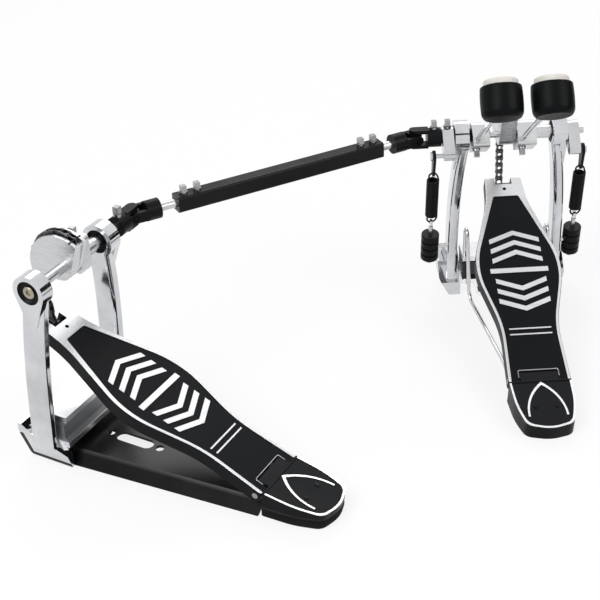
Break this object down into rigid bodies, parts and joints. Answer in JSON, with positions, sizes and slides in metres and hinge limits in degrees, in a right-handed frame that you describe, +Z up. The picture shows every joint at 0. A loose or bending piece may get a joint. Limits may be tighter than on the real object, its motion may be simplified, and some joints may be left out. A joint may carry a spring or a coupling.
{
  "type": "double bass drum pedal",
  "caption": "Two foot pedals joined by a drive link: each treadle pulls a chain and cam that swings a felt-faced beater against spring return.",
  "frame": {"origin": "on the floor below the middle of the main pedal axle", "axes": "+X along the main axle to the player's right, +Y forward to the drum, +Z up"},
  "size_m": [0.6053, 0.457, 0.33],
  "materials": {
    "chrome": "bright plated",
    "satin": "satin cast",
    "black": "semi-gloss black",
    "steel": "plain steel",
    "head": "satin black",
    "felt": "white felt",
    "rubber": "matt",
    "board": "black field with bare metal rim"
  },
  "bodies": {
    "frame": {"main_left_post": "chrome", "main_right_post": "chrome", "main_bridge": "black", "main_heel_plate": "board", "radius_rods": "chrome", "second_left_post": "chrome", "second_right_post": "chrome", "second_bridge": "black", "second_heel_plate": "board", "second_base_plate": "black", "base_pads": "rubber", "bearings": "steel", "hinge_pins": "steel", "frame_fasteners": "chrome", "tension_barrels": "black", "spring_eye_bolts": "steel", "main_spring": "black", "sub_spring": "black"},
    "jaw": {"hoop_jaw": "black"},
    "screw": {"wing_screw": "chrome"},
    "main_board": {"main_footboard": "board"},
    "main_drop": {"main_chain_drop": "steel"},
    "main_low_pair": {"main_chain_lower_pair": "steel"},
    "main_high_pair": {"main_chain_upper_pair": "steel"},
    "main_drive": {"main_axle": "steel", "main_cam": "satin", "main_chain_wrap": "steel", "main_beater_hub": "chrome", "main_spring_rocker": "chrome", "main_key_bolts": "chrome"},
    "main_beater": {"main_beater_shaft": "chrome", "main_beater_head": "head", "main_beater_felt": "felt"},
    "main_hook": {"main_spring_hook": "black"},
    "second_board": {"second_footboard": "board"},
    "second_drop": {"second_chain_drop": "steel"},
    "second_low_pair": {"second_chain_lower_pair": "steel"},
    "second_high_pair": {"second_chain_upper_pair": "steel"},
    "second_drive": {"second_axle": "chrome", "second_cam": "satin", "second_chain_wrap": "steel", "second_key_bolts": "chrome", "second_axle_yoke": "black"},
    "second_cross": {"second_joint_cross": "steel"},
    "link": {"link_tube": "black", "main_link_rod": "chrome", "second_link_rod": "chrome", "main_link_yoke": "black", "second_link_yoke": "black", "link_key_bolts": "chrome"},
    "main_cross": {"main_joint_cross": "steel"},
    "sub_drive": {"sub_axle": "chrome", "sub_beater_hub": "chrome", "sub_spring_rocker": "chrome", "sub_axle_yoke": "black", "sub_key_bolts": "chrome"},
    "sub_beater": {"sub_beater_shaft": "chrome", "sub_beater_head": "head", "sub_beater_felt": "felt"},
    "sub_hook": {"sub_spring_hook": "black"}
  },
  "joints": [
    {"name": "main_tread", "type": "hinge", "parent": "frame", "child": "main_board", "pos_m": [0, -0.2113, 0.023], "axis": [-1, 0, 0], "range_deg": [0, 6.62], "stiffness_Nm_per_rad": 8, "springref_deg": -14.32},
    {"name": "main_drop_swing", "type": "hinge", "parent": "main_board", "child": "main_drop", "pos_m": [-0.004, 0.02582, 0.12468], "axis": [-1, 0, 0], "range_deg": [-14.66, 0]},
    {"name": "main_low_pair_swing", "type": "hinge", "parent": "main_drop", "child": "main_low_pair", "pos_m": [-0.004, 0.03379, 0.19624], "axis": [-1, 0, 0], "range_deg": [0, 14.21]},
    {"name": "main_high_pair_swing", "type": "hinge", "parent": "main_low_pair", "child": "main_high_pair", "pos_m": [-0.004, 0.03177, 0.21211], "axis": [-1, 0, 0], "range_deg": [0, 27.82]},
    {"name": "main_drive_turn", "type": "hinge", "parent": "frame", "child": "main_drive", "pos_m": [0, 0, 0.2], "axis": [-1, 0, 0], "range_deg": [0, 47.59]},
    {"name": "second_tread", "type": "hinge", "parent": "frame", "child": "second_board", "pos_m": [-0.2764, -0.34119, 0.023], "axis": [-0.5314, -0.8471, 0], "range_deg": [0, 6.62], "stiffness_Nm_per_rad": 8, "springref_deg": -14.32},
    {"name": "second_drop_swing", "type": "hinge", "parent": "second_board", "child": "second_drop", "pos_m": [-0.4794, -0.21857, 0.12468], "axis": [-0.5314, -0.8471, 0], "range_deg": [-14.66, 0]},
    {"name": "second_low_pair_swing", "type": "hinge", "parent": "second_drop", "child": "second_low_pair", "pos_m": [-0.48615, -0.21433, 0.19624], "axis": [-0.5314, -0.8471, 0], "range_deg": [0, 14.21]},
    {"name": "second_high_pair_swing", "type": "hinge", "parent": "second_low_pair", "child": "second_high_pair", "pos_m": [-0.48444, -0.21541, 0.21211], "axis": [-0.5314, -0.8471, 0], "range_deg": [0, 27.82]},
    {"name": "second_drive_turn", "type": "hinge", "parent": "frame", "child": "second_drive", "pos_m": [-0.4554, -0.2289, 0.2], "axis": [-0.5314, -0.8471, 0], "range_deg": [0, 47.59]},
    {"name": "second_cross_swing", "type": "hinge", "parent": "second_drive", "child": "second_cross", "pos_m": [-0.3996, -0.13995, 0.2], "axis": [0, 0, 1], "range_deg": [0, 8.35]},
    {"name": "link_turn", "type": "hinge", "parent": "frame", "child": "link", "pos_m": [-0.103, 0, 0.2], "axis": [-0.9044, -0.4267, 0], "range_deg": [0, 42.19]},
    {"name": "sub_drive_turn", "type": "hinge", "parent": "frame", "child": "sub_drive", "pos_m": [0, 0, 0.2], "axis": [-1, 0, 0], "range_deg": [0, 45.25]},
    {"name": "main_cross_swing", "type": "hinge", "parent": "sub_drive", "child": "main_cross", "pos_m": [-0.103, 0, 0.2], "axis": [0, 0, 1], "range_deg": [-6.47, 0]},
    {"name": "main_hook_pull", "type": "slide", "parent": "frame", "child": "main_hook", "axis": [0, -0.1717, 0.9852], "range_m": [0, 0.01954], "deforming": ["main_spring"]},
    {"name": "main_beater_height", "type": "slide", "parent": "main_drive", "child": "main_beater", "axis": [0, -0.7986, 0.6018], "range_m": [-0.03, 0.01]},
    {"name": "sub_hook_pull", "type": "slide", "parent": "frame", "child": "sub_hook", "axis": [0, -0.1717, 0.9852], "range_m": [0, 0.01858], "deforming": ["sub_spring"]},
    {"name": "sub_beater_height", "type": "slide", "parent": "sub_drive", "child": "sub_beater", "axis": [0, -0.7986, 0.6018], "range_m": [-0.03, 0.01]},
    {"name": "jaw_lift", "type": "slide", "parent": "frame", "child": "jaw", "axis": [0, 0, 1], "range_m": [-0.012, 0.006]},
    {"name": "screw_turn", "type": "hinge", "parent": "frame", "child": "screw", "pos_m": [0, 0.036, 0], "axis": [0, 0, 1], "continuous": true}
  ],
  "couplings": [
    {"joint": "main_drop_swing", "follows": "main_tread", "ratio": -2.1238},
    {"joint": "main_low_pair_swing", "follows": "main_tread", "ratio": 2.0556},
    {"joint": "main_high_pair_swing", "follows": "main_tread", "ratio": 4.1111},
    {"joint": "main_drive_turn", "follows": "main_tread", "ratio": 7.0983},
    {"joint": "second_drop_swing", "follows": "second_tread", "ratio": -2.1238},
    {"joint": "second_low_pair_swing", "follows": "second_tread", "ratio": 2.0556},
    {"joint": "second_high_pair_swing", "follows": "second_tread", "ratio": 4.1111},
    {"joint": "second_drive_turn", "follows": "second_tread", "ratio": 7.0983},
    {"joint": "second_cross_swing", "follows": "second_tread", "ratio": 1.1712},
    {"joint": "link_turn", "follows": "second_tread", "ratio": 6.282},
    {"joint": "sub_drive_turn", "follows": "second_tread", "ratio": 6.7434},
    {"joint": "main_cross_swing", "follows": "second_tread", "ratio": -0.88729},
    {"joint": "main_hook_pull", "follows": "main_tread", "m_per_rad": 0.16564},
    {"joint": "sub_hook_pull", "follows": "second_tread", "m_per_rad": 0.15736}
  ]
}
